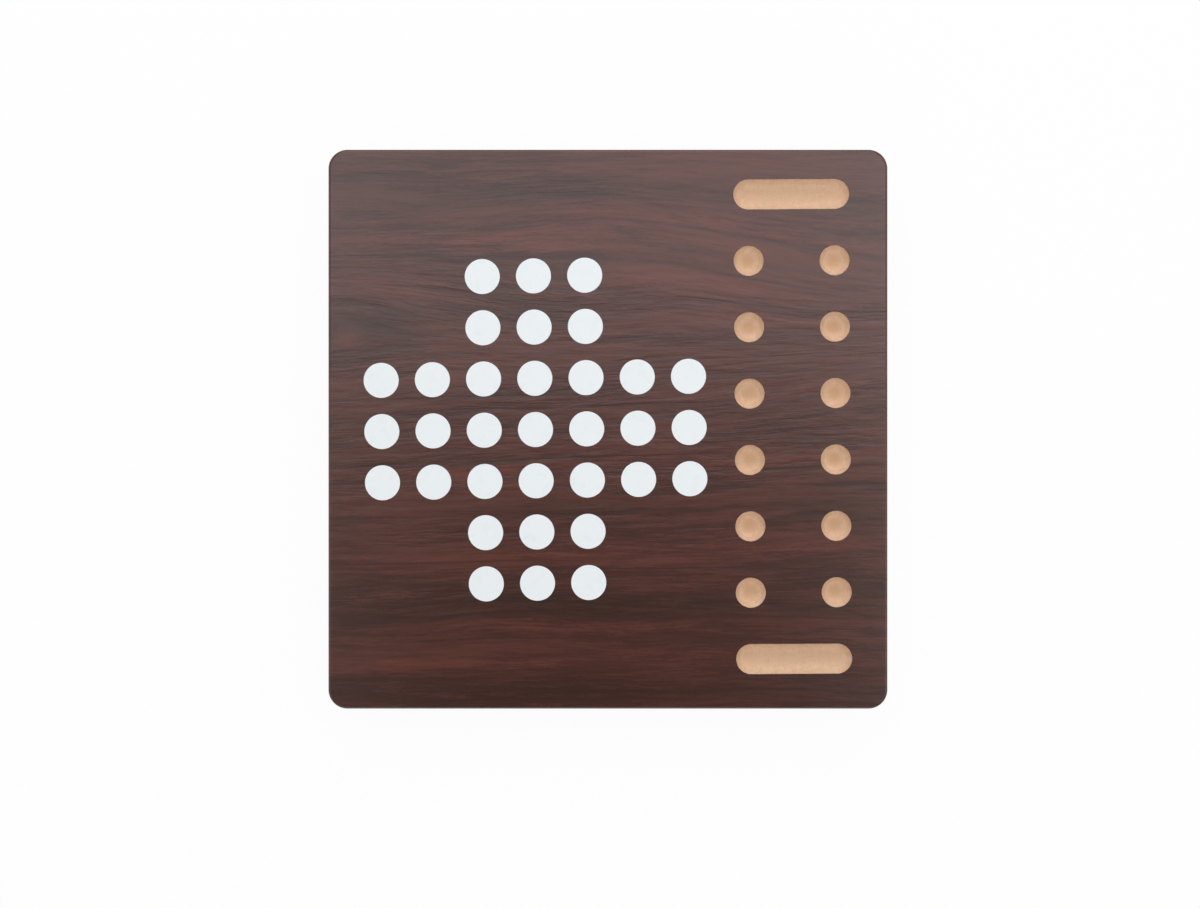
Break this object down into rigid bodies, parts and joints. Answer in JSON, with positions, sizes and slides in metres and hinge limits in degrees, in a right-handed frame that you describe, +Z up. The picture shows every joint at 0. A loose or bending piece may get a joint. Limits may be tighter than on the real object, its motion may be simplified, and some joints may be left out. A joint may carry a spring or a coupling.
{
  "type": "lift-off-lid games box",
  "caption": "Square wooden games box: a lift-off lid with a printed solitaire cross, routed mancala pits and a morris board below, over felt-lined bays of men and stones.",
  "frame": {"origin": "centre of the box's footprint, on the surface that its rubber feet stand on", "axes": "+Z up, +X to the right of the board with the mancala pits on that side, +Y away from the player"},
  "size_m": [0.295, 0.295, 0.0432],
  "materials": {
    "walnut_foil": "satin printed foil with a dark walnut grain",
    "fibreboard": "raw, as routed or sawn",
    "balancing_sheet": "matt brown backing",
    "white_ink": "flat screen-printed white",
    "hardboard": "raw brown hardboard",
    "divider_board": "raw, sanded",
    "liner_felt": "short pressed felt",
    "foot_rubber": "moulded, matt black",
    "light_beech": "turned, clear satin lacquer",
    "dark_beech": "turned, dark stain, satin",
    "pebble": "tumble-polished"
  },
  "bodies": {
    "box": {"front_wall": "fibreboard", "right_wall": "fibreboard", "back_wall": "fibreboard", "left_wall": "fibreboard", "front_wall_foil": "walnut_foil", "right_wall_foil": "walnut_foil", "back_wall_foil": "walnut_foil", "left_wall_foil": "walnut_foil", "base_panel": "hardboard", "left_divider": "divider_board", "right_divider": "divider_board", "felt_liners": "liner_felt", "rubber_feet": "foot_rubber", "light_men": "light_beech", "dark_men": "dark_beech", "mancala_stones": "pebble"},
    "lid": {"lid_core": "fibreboard", "lid_foil": "walnut_foil", "lid_back_sheet": "balancing_sheet", "solitaire_spots": "white_ink", "locating_panel": "hardboard", "panel_foil": "walnut_foil", "morris_print": "white_ink"}
  },
  "joints": [
    {"name": "lid_lift", "type": "slide", "parent": "box", "child": "lid", "axis": [0, 0, 1], "range_m": [0, 0.12]}
  ]
}
